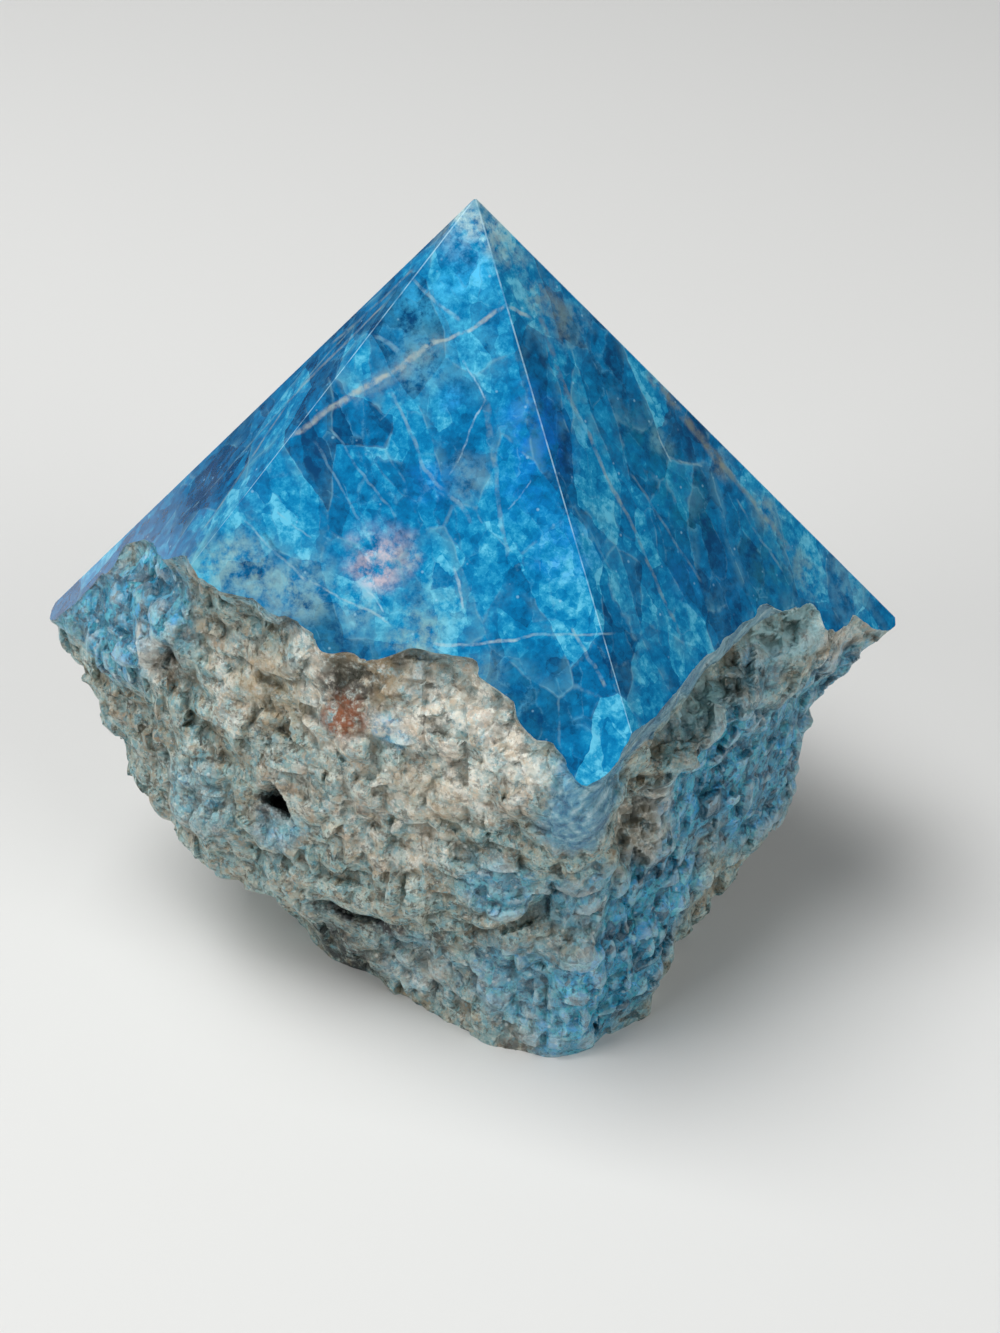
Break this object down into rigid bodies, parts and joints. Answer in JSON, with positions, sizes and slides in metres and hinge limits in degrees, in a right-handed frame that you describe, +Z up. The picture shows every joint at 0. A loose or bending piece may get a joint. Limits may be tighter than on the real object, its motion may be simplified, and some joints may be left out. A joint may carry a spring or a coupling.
{
  "type": "polished apatite point",
  "caption": "Lump of blue apatite ground and polished to a faceted point, with a rough natural lower half and a flat base, used as a display stone.",
  "frame": {"origin": "middle of the underside of the stone's bounding box, on the ground it stands on", "axes": "+Z up through the point, +X to the right in the picture, -Y towards the viewer"},
  "size_m": [0.0908, 0.0656, 0.084],
  "materials": {
    "apatite": "natural stone, mirror-polished on the upper faces, rough and broken below"
  },
  "bodies": {
    "root": {"apatite_point": "apatite"}
  },
  "joints": []
}
